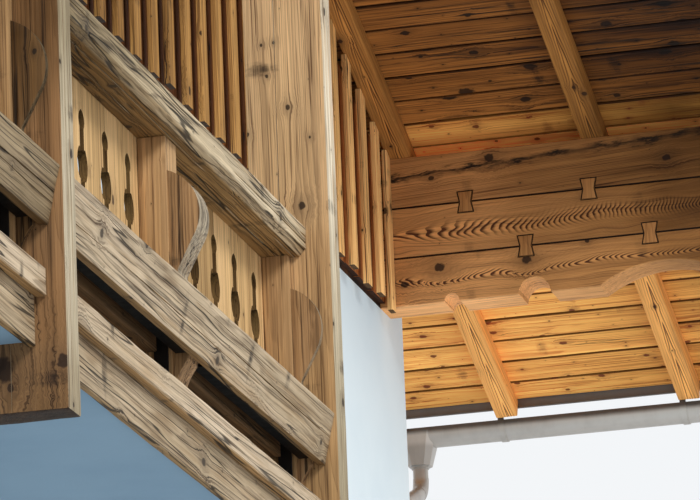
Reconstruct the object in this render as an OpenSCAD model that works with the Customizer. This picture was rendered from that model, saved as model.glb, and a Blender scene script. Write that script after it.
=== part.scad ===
// Corner section of the gable front of an alpine chalet, from the ground to the roof, with two
// bays of its timber balcony, a stacked and keyed eaves purlin and the roof overhang.
// X runs along the gable front towards the eaves corner, Y runs into the building, Z is up.
// The origin is on the ground, level with the centre post and in the middle of the front wall.

/* [Section] */
// Distance from the centre post to the cut on the left, a plain party wall
left_cut = 3600; // [3500:50:3900]
// Depth of the section behind the wall's front, to a plain party wall at the back
section_depth = 3150; // [2800:50:3600]
// Thickness of the plastered masonry walls
wall_t = 380; // [300:10:420]
// Thickness of the plain party walls
party_t = 250; // [200:10:300]

/* [Levels] */
// Underside of the balcony slab
slab_under = 6050; // [5900:10:6200]
// Thickness of the balcony slab and the floor behind it
slab_t = 200; // [160:10:220]
// Top of the plastered wall, where the timber gable starts
plaster_top = 8570; // [8500:10:8700]
// Lower end of the balcony posts
post_foot = 5840; // [5700:10:5900]

/* [Balcony] */
// Spacing of the big balcony posts
bay = 3270; // [3000:10:3400]
// Distance from the wall cladding to the front of the posts
balcony_depth = 1200; // [1150:10:1300]
// Width of a big post along the front
post_w = 127; // [110:1:150]
// Depth of a big post
post_d = 285; // [260:5:310]
// Height of the handrail's top over the balcony floor
rail_height = 1004; // [980:1:1050]
// Height of the handrail beam
rail_h = 109; // [95:1:130]
// Depth of the handrail beam
rail_d = 153; // [140:1:180]
// Width of a sawn board of the balustrade
board_w = 260; // [240:1:270]
// Number of joints between the sawn boards of a bay
joint_count = 12; // [9:1:12]
// Thickness of a sawn board
board_t = 31; // [24:1:34]
// Width of the short post in the middle of a bay
mid_post_w = 130; // [110:5:150]
// Depth of the short posts
mid_post_d = 96; // [90:2:120]

/* [Flower boxes] */
// Top of a flower box over the balcony floor
box_top = 325; // [300:5:360]
// Height of a flower box's front board
box_h = 178; // [160:1:200]
// Thickness of a flower box's front board
box_front_t = 28; // [24:1:36]
// How far the top of the front board leans out past its foot
box_lean = 42; // [20:1:60]
// Depth of a trough at its foot
trough_d = 42; // [36:1:60]

/* [Roof] */
// Pitch of both roof slopes in degrees
pitch = 19.4; // [18:0.1:22]
// Distance from the ridge to the near face of the eaves purlin
eaves_x = 9230; // [9000:10:9400]
// Top of the eaves purlin
eaves_top = 9265; // [9200:5:9300]
// Width of the purlins
purlin_w = 200; // [180:10:220]
// Height of the two lower timbers of the eaves purlin
layer_1 = 223; // [200:1:240]
// Height of the middle timber of the eaves purlin
layer_2 = 235; // [200:1:250]
// Height of the single purlins over the posts
purlin_h = 320; // [280:10:360]
// Width of a rafter
rafter_w = 106; // [90:2:120]
// Height of a rafter, square to the slope
rafter_h = 90; // [80:2:140]
// Spacing of the rafters
rafter_gap = 897; // [850:1:950]
// Distance from the ridge to the lower end of a rafter
rafter_end = 11315; // [11000:5:11350]
// Thickness of the roof boarding
boarding_t = 24; // [20:1:30]
// Distance from the wall cladding to the edge of the roof in front of the gable
verge = 2000; // [1980:10:2150]
// Diameter of the half-round gutter
gutter_d = 152; // [120:2:160]
// Diameter of the downpipe
pipe_d = 74; // [60:2:90]

/* [Door] */
// Width of the balcony door's opening
door_w = 1000; // [900:10:1100]
// Height of the balcony door's opening
door_h = 2100; // [2000:10:2150]

/* [Hidden] */

timber = "peru";
weathered = "tan";
honey = "burlywood";
plaster = "whitesmoke";
zinc = "silver";

cladding_t = 50;
batten_t = 24;
floor_top = slab_under + slab_t;
wall_front = -wall_t / 2;
wall_back = wall_t / 2;
// Plane of the battens' front, from which the balcony and the eaves are set out
face = wall_front - cladding_t;
back_end = face + section_depth;
back_inner = back_end - party_t;
left_inner = -left_cut + party_t;
side_outer = eaves_x + 420;
side_inner = side_outer - wall_t;
post_front = face - balcony_depth;
post_back = post_front + post_d;
rail_top = floor_top + rail_height;
rail_under = rail_top - rail_h;
boards_back = post_back - 17;
boards_front = boards_back - board_t;
rail_back = boards_front;
rail_front = rail_back - rail_d;
short_back = boards_front;
short_front = short_back - mid_post_d;
clear_bay = bay - post_w;
balcony_end = bay + post_w / 2;
slope = tan(pitch);
joint_1 = plaster_top + layer_1;
joint_2 = joint_1 + layer_2;
door_x = bay / 2;
purlin_front = face - 1880;
board_edge = rafter_end + 25;
covering_t = 60;
strap = 5;
strip_t = 3;
gutter_x = board_edge + strip_t + strap + gutter_d / 2;
gutter_z = 8518;
first_rafter = face - 64;
rafter_numbers = [-2 : 3];
verge_front = face - verge;
pipe_y = face + 401;
slab_edge = face - 1080;

// Height of the rafters' underside at a distance x from the ridge
function under(x) = eaves_top + (eaves_x - abs(x)) * slope;

// Draws a profile given in X and Z as a solid from y0 to y1
module along_y(y0, y1) {
    translate([0, y1, 0]) rotate([90, 0, 0]) linear_extrude(y1 - y0) children();
}

// Draws a profile given in Y and Z as a solid from x0 to x1
module along_x(x0, x1) {
    translate([x0, 0, 0]) rotate([90, 0, 90]) linear_extrude(x1 - x0) children();
}

// A box between two opposite corners
module block(a, b) {
    translate(a) cube(b - a);
}

// The walls

module ground_floor() {
    color(plaster) block([left_inner, wall_back, 0], [side_inner, back_inner, 200]);
}

module front_wall_lower() {
    color(plaster) block([-left_cut, wall_front, 0], [side_outer, wall_back, slab_under]);
}

module front_wall_left() {
    color(plaster) block([-left_cut, wall_front, floor_top], [door_x - door_w / 2, wall_back, plaster_top]);
}

module front_wall_right() {
    color(plaster) along_y(wall_front, wall_back) polygon([
        [door_x + door_w / 2, floor_top], [balcony_end, floor_top], [balcony_end, slab_under],
        [side_outer, slab_under], [side_outer, plaster_top], [door_x + door_w / 2, plaster_top]]);
}

module front_wall_over_door() {
    color(plaster) block([door_x - door_w / 2, wall_front, floor_top + door_h],
                         [door_x + door_w / 2, wall_back, plaster_top]);
}

module side_wall() {
    color(plaster) block([side_inner, wall_back, 0], [side_outer, back_inner, plaster_top]);
}

// The wall beside the eaves purlin, up to the rafters
module side_wall_head() {
    x0 = eaves_x + purlin_w;
    color(plaster) along_y(wall_front, back_end) polygon([
        [x0, plaster_top], [side_outer, plaster_top], [side_outer, under(side_outer)], [x0, under(x0)]]);
}

module party_wall_left() {
    color(plaster) along_y(wall_back, back_inner) polygon([
        [-left_cut, 0], [left_inner, 0], [left_inner, under(left_inner)], [-left_cut, under(left_cut)]]);
}

module party_wall_back() {
    color(plaster) along_y(back_inner, back_end) polygon([
        [-left_cut, 0], [side_outer, 0], [side_outer, plaster_top], [eaves_x + purlin_w, plaster_top],
        [eaves_x + purlin_w, under(eaves_x + purlin_w)], [0, under(0)], [-left_cut, under(left_cut)]]);
}

module interior_floor() {
    color(plaster) block([left_inner, wall_back, slab_under], [side_inner, back_inner, floor_top]);
}

// The openings in the gable for the purlins that run through it
module purlin_pockets() {
    for (x = [-bay, 0, bay])
        translate([x - purlin_w / 2, purlin_top(x) - purlin_h]) square([purlin_w, 2 * purlin_h]);
}

module gable_outline(foot) {
    difference() {
        polygon([[-left_cut, foot], [eaves_x, foot], [eaves_x, under(eaves_x)],
                 [0, under(0)], [-left_cut, under(left_cut)]]);
        purlin_pockets();
    }
}

module gable_wall() {
    color(timber) along_y(wall_front, wall_back) gable_outline(plaster_top);
}

// The boards of the cladding as one skin, their foot a little below the top of the plaster
module gable_cladding() {
    color(timber) along_y(face + batten_t, wall_front) gable_outline(plaster_top - 20);
}

// The balcony

module balcony_slab() {
    color("lightslategray") translate([0, 0, slab_under]) linear_extrude(slab_t) union() {
        translate([-balcony_end, slab_edge]) square([2 * balcony_end, wall_front - slab_edge]);
        translate([-left_cut, wall_front]) square([left_cut + balcony_end, wall_t]);
    }
}

module door_frame(outer_w, outer_h, bar) {
    difference() {
        translate([-outer_w / 2, 0]) square([outer_w, outer_h]);
        translate([-outer_w / 2 + bar, bar]) square([outer_w - 2 * bar, outer_h - 2 * bar]);
    }
}

// A fixed frame with one leaf in it, shut
module balcony_door() {
    color("sienna") translate([door_x, 0, floor_top]) {
        along_y(wall_front + 120, wall_front + 190) door_frame(door_w, door_h, 60);
        along_y(wall_front + 130, wall_front + 180) translate([0, 60]) door_frame(door_w - 120, door_h - 120, 110);
    }
}

module balcony_door_glass() {
    color("lightblue") translate([door_x, 0, floor_top]) along_y(wall_front + 143, wall_front + 167)
        translate([-door_w / 2 + 170, 170]) square([door_w - 340, door_h - 340]);
}

// A big post from below the balcony to the purlin over it
module post(x) {
    color(timber) block([x - post_w / 2, post_front, post_foot],
                        [x + post_w / 2, post_back, purlin_top(x) - purlin_h]);
}

module post_left() {
    post(-bay);
}

module post_centre() {
    post(0);
}

module post_right() {
    post(bay);
}

// Section of the handrail: its lower front edge hewn off wide, the upper edges a little
module rail_section() {
    edge = 14;
    front_edge = 8;
    polygon([
        [rail_front + 2, rail_under + 28], [rail_front + 27, rail_under], [rail_back, rail_under],
        [rail_back, rail_top - edge], [rail_back - edge, rail_top], [rail_front + front_edge, rail_top],
        [rail_front, rail_top - front_edge]]);
}

module handrail(start) {
    color(weathered) along_x(start + post_w / 2, start + bay - post_w / 2) rail_section();
}

module handrail_left() {
    handrail(-bay);
}

module handrail_right() {
    handrail(0);
}

// The opening sawn along a joint between two boards: a lens with a slit and a drop over and under it
module sawn_opening() {
    lens_h = 104;
    lens_w = 116;
    lens_r = 70;
    slit_w = 48;
    slit_h = 99;
    drop_r = 33;
    intersection() {
        translate([lens_r - lens_w / 2, 0]) circle(lens_r, $fn = 64);
        translate([lens_w / 2 - lens_r, 0]) circle(lens_r, $fn = 64);
        translate([-lens_w, -lens_h / 2]) square([2 * lens_w, lens_h]);
    }
    for (side = [-1, 1]) {
        translate([-slit_w / 2, side > 0 ? lens_h / 2 - 8 : -lens_h / 2 + 8 - slit_h]) square([slit_w, slit_h]);
        translate([0, side * (lens_h / 2 - 8 + slit_h)]) circle(drop_r, $fn = 32);
    }
}

module railing_boards(start) {
    first = 125;
    foot = floor_top + 30;
    top = rail_top - 15;
    opening_z = rail_under - 260;
    color(honey) translate([start + post_w / 2, 0, 0]) along_y(boards_front, boards_back) difference() {
        translate([0, foot]) square([clear_bay, top - foot]);
        for (i = [0 : joint_count - 1])
            translate([first + i * board_w, opening_z]) sawn_opening();
    }
}

module railing_boards_left() {
    railing_boards(-bay);
}

module railing_boards_right() {
    railing_boards(0);
}

// Middle of a bay's middle post, a little off the middle of the bay
function mid(start) = start + bay / 2 + 30;

// The post in the middle of a bay and the half posts fixed to the big ones
module short_posts(start) {
    foot = floor_top;
    side_w = half_post_w;
    color(timber) {
        block([mid(start) - mid_post_w / 2, short_front, foot],
              [mid(start) + mid_post_w / 2, short_back, rail_under]);
        block([start + post_w / 2, short_front, foot],
              [start + post_w / 2 + side_w, short_back, rail_under]);
        block([start + bay - post_w / 2 - side_w, short_front, foot],
              [start + bay - post_w / 2, short_back, rail_under]);
    }
}

module short_posts_left() {
    short_posts(-bay);
}

module short_posts_right() {
    short_posts(0);
}

steel_t = 9;
half_post_w = 50;

// The low rail that carries the foot of the sawn boards, in two lengths beside the short post
module lower_rails(start) {
    under_z = floor_top + 175;
    rail_z = 100;
    depth = 49;
    inset = half_post_w + steel_t;
    gap = mid_post_w / 2 + steel_t;
    color(weathered) {
        block([start + post_w / 2 + inset, boards_front - depth, under_z],
              [mid(start) - gap, boards_front, under_z + rail_z]);
        block([mid(start) + gap, boards_front - depth, under_z],
              [start + bay - post_w / 2 - inset, boards_front, under_z + rail_z]);
    }
}

module lower_rails_left() {
    lower_rails(-bay);
}

module lower_rails_right() {
    lower_rails(0);
}

// The balustrade that closes an end of the balcony, from the post back to the wall
module railing_return(x) {
    foot = floor_top + 30;
    color(honey) {
        block([x - board_t / 2, post_back, foot], [x + board_t / 2, wall_front, rail_under]);
        block([x - post_w / 2, post_back, rail_under], [x + post_w / 2, wall_front, rail_top]);
    }
}

module railing_return_left() {
    railing_return(-bay);
}

module railing_return_right() {
    railing_return(bay);
}

// The flower boxes

box_z1 = floor_top + box_top;
box_z0 = box_z1 - box_h;
box_y1 = post_front + 6;
box_y0 = box_y1 + box_lean;

// Inner face of the leaning front board at a height over its foot
function box_inner(h) = box_y0 + box_front_t - h * box_lean / box_h;

// The two stretches of a bay between its brackets
function between_brackets(start) = [
    [start + post_w / 2 + 68, mid(start) - 84],
    [mid(start) + 84, start + bay - post_w / 2 - 68]];

// The leaning front board of a box, which runs the whole bay over the brackets
module flower_box(start) {
    x0 = start + post_w / 2 + 2;
    x1 = start + bay - post_w / 2 - 2;
    color(weathered) along_x(x0, x1) polygon([
        [box_y0, box_z0], [box_y0 + box_front_t, box_z0], [box_y1 + box_front_t, box_z1], [box_y1, box_z1]]);
}

module flower_box_left() {
    flower_box(-bay);
}

module flower_box_right() {
    flower_box(0);
}

// Section of a trough that hangs behind the board and widens upwards, shrunk by a wall's thickness
module trough_section(wall) {
    low = 10 + wall;
    high = box_h + 12 + (wall > 0 ? 10 : 0);
    back = box_y0 + box_front_t + trough_d;
    widen = 0.24;
    polygon([
        [box_inner(low) + wall, box_z0 + low], [back + widen * low - wall, box_z0 + low],
        [back + widen * high - wall, box_z0 + high], [box_inner(high) + wall, box_z0 + high]]);
}

// The dark troughs behind a board, open at the top
module box_liners(start) {
    wall = 4;
    end_gap = 12;
    color("dimgray") for (s = between_brackets(start))
        difference() {
            along_x(s[0] + end_gap, s[1] - end_gap) trough_section(0);
            along_x(s[0] + end_gap + wall, s[1] - end_gap - wall) trough_section(wall);
        }
}

module box_liners_left() {
    box_liners(-bay);
}

module box_liners_right() {
    box_liners(0);
}

// A bracket seen from its side: a round head over the box, a leg behind it and a hollowed foot under it
module bracket_outline() {
    head_r = 155;
    head_y = face - 1009;
    head_z = floor_top + 632;
    hollow_r = 192;
    foot_y = face - 1062;
    lip_y = face - 1110;
    difference() {
        intersection() {
            union() {
                translate([head_y, head_z]) circle(head_r, $fn = 96);
                polygon([
                    [short_front, floor_top], [foot_y, floor_top], [foot_y, floor_top + 20],
                    [lip_y, floor_top + 20], [lip_y, box_z0 + 8], [box_inner(33), box_z0 + 33],
                    [box_inner(60), box_z0 + 60], [face - 1085, box_z1 + 20],
                    [face - 1085, head_z - 186], [face - 1137, head_z - 88], [short_front, head_z]]);
            }
            translate([short_front - 400, floor_top]) square([400, 1000]);
        }
        translate([foot_y - hollow_r, floor_top + 20]) circle(hollow_r, $fn = 128);
    }
}

// The thick bracket on the short post and the thin ones against the big posts
module box_brackets(start) {
    thin = 26;
    xm = mid(start);
    color(timber) {
        along_x(xm - 59, xm + 59) bracket_outline();
        along_x(start + post_w / 2, start + post_w / 2 + thin) bracket_outline();
        along_x(start + bay - post_w / 2 - thin, start + bay - post_w / 2) bracket_outline();
    }
}

module box_brackets_left() {
    box_brackets(-bay);
}

module box_brackets_right() {
    box_brackets(0);
}

// Flat steel uprights beside the short posts, from the balcony slab up to the railing
module steel_uprights() {
    y0 = short_front + 11;
    color("dimgray") for (start = [-bay, 0])
        for (x = [mid(start) - mid_post_w / 2 - steel_t, mid(start) + mid_post_w / 2,
                  start + post_w / 2 + half_post_w, start + bay - post_w / 2 - half_post_w - steel_t])
            block([x, y0, floor_top], [x + steel_t, y0 + 47, box_z0 + 120]);
}

// The boards that hide the slab's edge: a high one with a narrow one before its top
module edge_boards(start) {
    x0 = start + post_w / 2 + 8;
    x1 = start + bay - post_w / 2 - 8;
    color(weathered) {
        block([x0, slab_edge - 25, floor_top - 220], [x1, slab_edge, floor_top - 55]);
        block([x0, slab_edge - 62, floor_top - 70], [x1, slab_edge - 25, floor_top + 18]);
    }
}

module edge_boards_left() {
    edge_boards(-bay);
}

module edge_boards_right() {
    edge_boards(0);
}

// The eaves purlin of three timbers on each other, with keys across their joints

key_w = 70;
key_h = 96;
key_step = 570;

// Places of the keys along the upper joint, and half a step on along the lower one
upper_keys = [for (i = [0 : 2]) face - 364 - i * key_step];
lower_keys = [for (i = [0 : 1]) face - 633 - i * key_step];

// A key is widest at its ends and narrow at the joint
module key_outline() {
    waist = 0.72 * key_w;
    polygon([
        [-key_w / 2, -key_h / 2], [key_w / 2, -key_h / 2], [waist / 2, 0], [key_w / 2, key_h / 2],
        [-key_w / 2, key_h / 2], [-waist / 2, 0]]);
}

module key_outlines() {
    for (y = upper_keys) translate([y, joint_2]) key_outline();
    for (y = lower_keys) translate([y, joint_1]) key_outline();
}

// The lower edge in front of the wall: two round notches and a long arch
module lower_edge_cuts() {
    arch_half = 302;
    arch_h = 92;
    arch_r = (pow(arch_half, 2) + pow(arch_h, 2)) / (2 * arch_h);
    translate([face - 282, plaster_top]) circle(35, $fn = 48);
    translate([face - 664, plaster_top]) circle(73, $fn = 64);
    translate([face - 1264, plaster_top + arch_h - arch_r]) circle(arch_r, $fn = 128);
    translate([purlin_front, plaster_top]) circle(150, $fn = 64);
}

module eaves_layer(z0, z1, front) {
    difference() {
        translate([front, z0]) square([back_inner - front, z1 - z0]);
        key_outlines();
        lower_edge_cuts();
    }
}

module eaves_purlin_lower() {
    color(timber) along_x(eaves_x, eaves_x + purlin_w) eaves_layer(plaster_top, joint_1, purlin_front);
}

module eaves_purlin_middle() {
    color(timber) along_x(eaves_x, eaves_x + purlin_w) eaves_layer(joint_1, joint_2, purlin_front);
}

module eaves_purlin_upper() {
    color(timber) along_x(eaves_x, eaves_x + purlin_w) eaves_layer(joint_2, eaves_top, purlin_front);
}

module purlin_keys() {
    color("saddlebrown") along_x(eaves_x - 3, eaves_x + purlin_w + 3) key_outlines();
}

// Top of a single purlin, on which the rafters sit
function purlin_top(x) = x == 0 ? under(purlin_w / 2) : under(x);

module single_purlin(x) {
    nose = 150;
    top = purlin_top(x);
    color(timber) along_x(x - purlin_w / 2, x + purlin_w / 2) difference() {
        translate([purlin_front, top - purlin_h]) square([back_inner - purlin_front, purlin_h]);
        translate([purlin_front, top - purlin_h]) circle(nose, $fn = 64);
    }
}

module ridge_purlin() {
    single_purlin(0);
}

module mid_purlin_left() {
    single_purlin(-bay);
}

module mid_purlin_right() {
    single_purlin(bay);
}

// The roof

// A rafter's side, from the ridge to x1, with seats over the purlins
module rafter_outline(x1) {
    run = rafter_h * sin(pitch);
    rise = rafter_h * cos(pitch);
    difference() {
        polygon([[0, under(0)], [x1, under(x1)], [x1 + run, under(x1) + rise], [0, under(0) + rafter_h / cos(pitch)]]);
        translate([bay - purlin_w / 2, purlin_top(bay) - purlin_h]) square([purlin_w, purlin_h]);
        translate([eaves_x, eaves_top - purlin_h]) square([purlin_w, purlin_h]);
    }
}

module rafters_right() {
    color(timber) for (i = rafter_numbers) {
        y = first_rafter + i * rafter_gap;
        along_y(y - rafter_w / 2, y + rafter_w / 2) rafter_outline(rafter_end);
    }
}

module rafters_left() {
    color(timber) for (i = rafter_numbers) {
        y = first_rafter + i * rafter_gap;
        along_y(y - rafter_w / 2, y + rafter_w / 2) intersection() {
            mirror([1, 0]) rafter_outline(rafter_end);
            translate([-left_cut, 0]) square([left_cut, 20000]);
        }
    }
}

// A layer over the rafters on both slopes, from low to high above their underside, measured square
module roof_layer(low, high, end) {
    polygon([
        [-left_cut, under(left_cut) + low / cos(pitch)], [0, under(0) + low / cos(pitch)],
        [end, under(end) + low / cos(pitch)], [end, under(end) + high / cos(pitch)],
        [0, under(0) + high / cos(pitch)], [-left_cut, under(left_cut) + high / cos(pitch)]]);
}

module roof_boarding() {
    color(timber) along_y(verge_front + 30, back_end) roof_layer(rafter_h, rafter_h + boarding_t, board_edge);
}

module roof_covering() {
    top = rafter_h + boarding_t;
    color("dimgray") along_y(verge_front, back_end) roof_layer(top, top + covering_t, board_edge + 20);
}

// Height of the boarding's underside at a distance x from the ridge
function board_under(x) = under(x) + rafter_h / cos(pitch);

// The boards that close the rafters at the verge
module bargeboards() {
    low = -30;
    back = first_rafter + rafter_numbers[0] * rafter_gap - rafter_w / 2;
    color(timber) along_y(back - 35, back) roof_layer(low, rafter_h, rafter_end);
}

// A bent metal strip that hides the edge of the boarding
module drip_strip() {
    top = board_under(board_edge) + boarding_t / cos(pitch);
    low = board_under(board_edge) - 42;
    color("dimgray") along_y(verge_front + 30, back_end) {
        translate([board_edge, low]) square([strip_t, top - low]);
        translate([board_edge - 14, low]) square([14, strip_t]);
    }
}

// Half-round gutter along the eaves, its back edge raised and its front edge rolled to a bead
module gutter() {
    sheet = 3;
    r = gutter_d / 2;
    color(zinc) along_y(verge_front, back_end) translate([gutter_x, gutter_z]) {
        difference() {
            circle(r, $fn = 64);
            circle(r - sheet, $fn = 64);
            translate([-r, 0]) square([2 * r, r]);
        }
        translate([-r, 0]) square([sheet, 12]);
        translate([r + 4, 0]) circle(8, $fn = 24);
    }
}

// A hoop under the gutter with a tongue fixed on the boarding beside each rafter
module gutter_brackets() {
    r = gutter_d / 2;
    top = board_under(board_edge + strip_t) + boarding_t / cos(pitch) - 2;
    color(zinc) for (i = rafter_numbers) {
        y = first_rafter + i * rafter_gap + 38;
        along_y(y - 15, y + 15) translate([gutter_x, gutter_z]) {
            difference() {
                circle(r + strap, $fn = 64);
                circle(r, $fn = 64);
                translate([-2 * r, 0]) square([4 * r, 2 * r]);
            }
            translate([-r - strap, 0]) square([strap, top - gutter_z]);
        }
    }
}

// Section of the outlet box at a height, an oblong with its corners cut off
module outlet_section(half_x, half_y, z) {
    cut = 0.45 * half_x;
    translate([gutter_x, pipe_y, z]) linear_extrude(1) polygon([
        [-half_x, -half_y + cut], [-half_x + cut, -half_y], [half_x - cut, -half_y], [half_x, -half_y + cut],
        [half_x, half_y - cut], [half_x - cut, half_y], [-half_x + cut, half_y], [-half_x, half_y - cut]]);
}

outlet_low = gutter_z - 166;

// The tapered box that hangs round the gutter and narrows to the downpipe
module gutter_outlet() {
    r = gutter_d / 2;
    color(zinc) {
        difference() {
            hull() {
                outlet_section(r + 8, 96, gutter_z - 2);
                outlet_section(54, 54, outlet_low);
            }
            along_y(pipe_y - 200, pipe_y + 200) translate([gutter_x, gutter_z]) circle(r, $fn = 64);
        }
        translate([gutter_x, pipe_y, outlet_low - 12]) cylinder(r = pipe_d / 2 + 6, h = 12, $fn = 48);
    }
}

// A bend of the pipe in the plane y = pipe_y, round a centre given in X and Z, a little wider than the pipe
module elbow(centre, start, sweep) {
    translate([centre[0], pipe_y, centre[1]]) rotate([90, 0, 0]) rotate([0, 0, start])
        rotate_extrude(angle = sweep, $fn = 96) translate([bend_r, 0]) circle(pipe_d / 2 + 1.5, $fn = 32);
}

bend_r = 100;
bend = 70;
// Length of the straight pipes that sits inside a bend
lap = 8;
wall_x = side_outer + pipe_d / 2 + 38;
upper_z = outlet_low - 60;
slant = (gutter_x - wall_x - 2 * bend_r * (1 - cos(bend))) / sin(bend);
lower_z = upper_z - 2 * bend_r * sin(bend) - slant * cos(bend);

// The pipe from the outlet box, slanted back to the wall and down it
module downpipe() {
    r = pipe_d / 2;
    color(zinc) {
        translate([gutter_x, pipe_y, upper_z - lap]) cylinder(r = r, h = outlet_low - 12 - upper_z + lap, $fn = 32);
        elbow([gutter_x - bend_r, upper_z], -bend, bend);
        translate([gutter_x - bend_r * (1 - cos(bend)), pipe_y, upper_z - bend_r * sin(bend)])
            rotate([0, 180 + bend, 0]) translate([0, 0, -lap]) cylinder(r = r, h = slant + 2 * lap, $fn = 32);
        elbow([wall_x + bend_r, lower_z], 180 - bend, bend);
        translate([wall_x, pipe_y, 150]) cylinder(r = r, h = lower_z - 150 + lap, $fn = 32);
    }
}

// Rings that hold the pipe, each on a pin in the wall
module pipe_clips() {
    ring = 5;
    color(zinc) for (z = [600, 2700, 4800, 7000]) {
        translate([wall_x, pipe_y, z]) difference() {
            cylinder(r = pipe_d / 2 + ring, h = 30, $fn = 32);
            translate([0, 0, -5]) cylinder(r = pipe_d / 2, h = 40, $fn = 32);
        }
        block([side_outer, pipe_y - 6, z + 9], [wall_x - pipe_d / 2 - 1, pipe_y + 6, z + 21]);
    }
}

ground_floor();
front_wall_lower();
front_wall_left();
front_wall_right();
front_wall_over_door();
side_wall();
side_wall_head();
party_wall_left();
party_wall_back();
interior_floor();
gable_wall();
gable_cladding();
balcony_slab();
balcony_door();
balcony_door_glass();
post_left();
post_centre();
post_right();
handrail_left();
handrail_right();
railing_boards_left();
railing_boards_right();
short_posts_left();
short_posts_right();
lower_rails_left();
lower_rails_right();
railing_return_left();
railing_return_right();
flower_box_left();
flower_box_right();
box_liners_left();
box_liners_right();
box_brackets_left();
box_brackets_right();
steel_uprights();
edge_boards_left();
edge_boards_right();
eaves_purlin_lower();
eaves_purlin_middle();
eaves_purlin_upper();
purlin_keys();
ridge_purlin();
mid_purlin_left();
mid_purlin_right();
rafters_left();
rafters_right();
roof_boarding();
roof_covering();
bargeboards();
drip_strip();
gutter();
gutter_brackets();
gutter_outlet();
downpipe();
pipe_clips();
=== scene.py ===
"""Looks of the chalet's gable corner: hewn and sawn timber, plaster, sheet metal, light and camera."""

import math
import random

import bmesh
import bpy
from mathutils import Matrix, Vector, noise


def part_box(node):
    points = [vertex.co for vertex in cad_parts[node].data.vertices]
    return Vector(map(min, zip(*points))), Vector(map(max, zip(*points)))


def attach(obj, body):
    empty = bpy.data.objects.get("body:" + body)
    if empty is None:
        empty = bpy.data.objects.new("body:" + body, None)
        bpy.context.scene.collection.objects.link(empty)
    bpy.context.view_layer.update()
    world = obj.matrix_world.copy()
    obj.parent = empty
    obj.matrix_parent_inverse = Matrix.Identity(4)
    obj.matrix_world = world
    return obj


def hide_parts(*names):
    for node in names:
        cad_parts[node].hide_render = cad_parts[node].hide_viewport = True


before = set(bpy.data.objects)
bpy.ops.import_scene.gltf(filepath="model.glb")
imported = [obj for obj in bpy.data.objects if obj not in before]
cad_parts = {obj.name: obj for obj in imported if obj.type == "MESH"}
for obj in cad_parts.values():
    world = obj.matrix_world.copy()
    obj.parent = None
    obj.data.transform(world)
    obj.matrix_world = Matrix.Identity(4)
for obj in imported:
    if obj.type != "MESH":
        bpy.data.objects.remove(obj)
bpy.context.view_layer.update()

X = Vector((1, 0, 0))
Y = Vector((0, 1, 0))
Z = Vector((0, 0, 1))

# Camera, worked out from the photo's timber edges
FOCAL_PX = 6028
IMAGE_W = 700
SENSOR = 36
HEADING = math.radians(13.54)
CLIMB = math.radians(15.40)
ROLL = math.radians(2.32)
EYE_BESIDE_POST = 16.389
EYE_BEFORE_FACE = 5.989
EYE_HEIGHT = 1.6

# Set-out. FACE is the plane of the battens' front, BAY the distance between the big posts
BALCONY_DEPTH = 1.2
RAFTER_W = 0.106
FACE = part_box("post_centre")[0].y + BALCONY_DEPTH
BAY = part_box("post_right")[0].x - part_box("post_centre")[0].x
FLOOR_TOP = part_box("balcony_slab")[1].z
RAFTER_LOW, RAFTER_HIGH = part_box("rafters_right")
EAVES_LOW, EAVES_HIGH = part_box("eaves_purlin_upper")
BOARDING_LOW, BOARDING_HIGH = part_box("roof_boarding")
SLOPE = (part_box("mid_purlin_right")[1].z - EAVES_HIGH.z) / (EAVES_LOW.x - BAY)
PITCH = math.atan(SLOPE)
RAFTER_STEP = (RAFTER_HIGH.y - RAFTER_LOW.y - RAFTER_W) / 5
RAFTERS = [RAFTER_LOW.y + RAFTER_W / 2 + RAFTER_STEP * i for i in range(6)]


def under(x):
    """Height of the rafters' underside over a distance x from the ridge."""
    return EAVES_HIGH.z + (EAVES_LOW.x - abs(x)) * SLOPE


RAFTER_H = (BOARDING_LOW.z - under(BOARDING_HIGH.x)) * math.cos(PITCH)


# Node building

def operator(operation):
    return lambda *values: calc(operation, *values)


class Value:
    """A socket in a formula. Each operation on it adds the Math node that works it out."""

    kind = "Math"
    __add__ = operator("ADD")
    __sub__ = operator("SUBTRACT")
    __mul__ = operator("MULTIPLY")
    __truediv__ = operator("DIVIDE")
    __pow__ = operator("POWER")
    __abs__ = operator("ABSOLUTE")

    def __init__(self, socket):
        self.socket = socket
        self.tree = socket.id_data

    def __rsub__(self, other):
        return calc("SUBTRACT", other, self)

    def to(self, socket):
        """Links the value to an input."""
        self.tree.links.new(self.socket, socket)


class Place(Value):
    """A vector in a formula, which Vector Math nodes work out."""

    kind = "VectorMath"

    def length(self):
        return Value(put(self.tree, self.kind, {0: self}, operation="LENGTH").outputs["Value"])

    def parts(self):
        return [Value(socket) for socket in put(self.tree, "SeparateXYZ", {0: self}).outputs]


def put(tree, kind, inputs=None, **settings):
    """Adds a shader node, applies its settings, and gives each named input a number, a colour or a value."""
    made = tree.nodes.new("ShaderNode" + kind)
    for name, setting in settings.items():
        setattr(made, name, setting)
    for key, given in (inputs or {}).items():
        if isinstance(given, Value):
            given.to(made.inputs[key])
        else:
            made.inputs[key].default_value = given
    return made


def tree_of(*values):
    return next(value.tree for value in values if isinstance(value, Value))


def calc(operation, *values):
    """The result of a node that works on values of one kind."""
    kind = next(type(value) for value in values if isinstance(value, Value))
    inputs = dict(enumerate(values))
    return kind(put(tree_of(*values), kind.kind, inputs, operation=operation).outputs[0])


def least(a, b):
    return calc("MINIMUM", a, b)


def most(a, b):
    return calc("MAXIMUM", a, b)


def bell(value, width):
    """1 where a value is 0, and down to 0 within about two widths on both sides."""
    return calc("EXPONENT", (value / width) ** 2.0 * -1.0)


def ramp(value, low, high, kind="SMOOTHSTEP"):
    """Maps a value from low..high onto 0..1."""
    inputs = {"Value": value, "From Min": low, "From Max": high}
    return Value(put(value.tree, "MapRange", inputs, interpolation_type=kind).outputs["Result"])


def fall(value, low, high):
    """Maps a value from low..high onto 1..0."""
    return 1.0 - ramp(value, low, high)


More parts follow.
